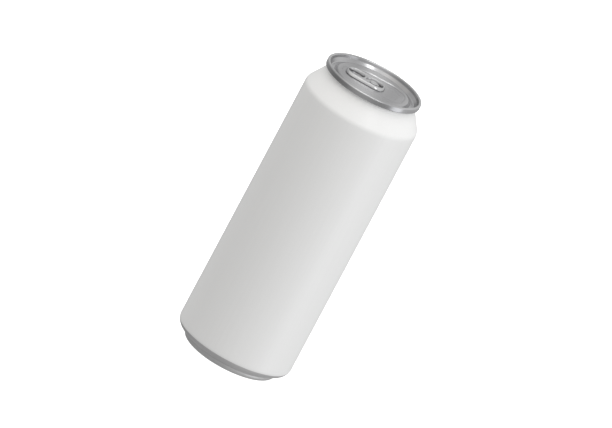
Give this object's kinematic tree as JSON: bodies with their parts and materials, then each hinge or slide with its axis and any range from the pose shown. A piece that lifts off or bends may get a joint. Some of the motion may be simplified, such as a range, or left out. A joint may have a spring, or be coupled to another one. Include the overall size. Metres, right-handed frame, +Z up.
{
  "type": "soda can",
  "caption": "Tall closed beverage can in plain white, with a necked shoulder, a domed base and a seamed silver end with a pull tab.",
  "frame": {"origin": "centre of the base ring, at the level that the can stands on", "axes": "+Z up the can's axis, +X from the rivet towards the mouth, so the tab's heel is at -X, and +Y to the left of the mouth seen from above with +X ahead"},
  "size_m": [0.066, 0.066, 0.173],
  "materials": {
    "white_coating": "satin white base coat and varnish on drawn aluminium, bare and brushed round the foot and under the dome",
    "bare_aluminium": "rolled sheet with a clear lacquer",
    "tab_aluminium": "bright rolled strip, curled edges"
  },
  "bodies": {
    "root": {"can_body": "white_coating", "can_end": "bare_aluminium", "pull_tab": "tab_aluminium"}
  },
  "joints": []
}
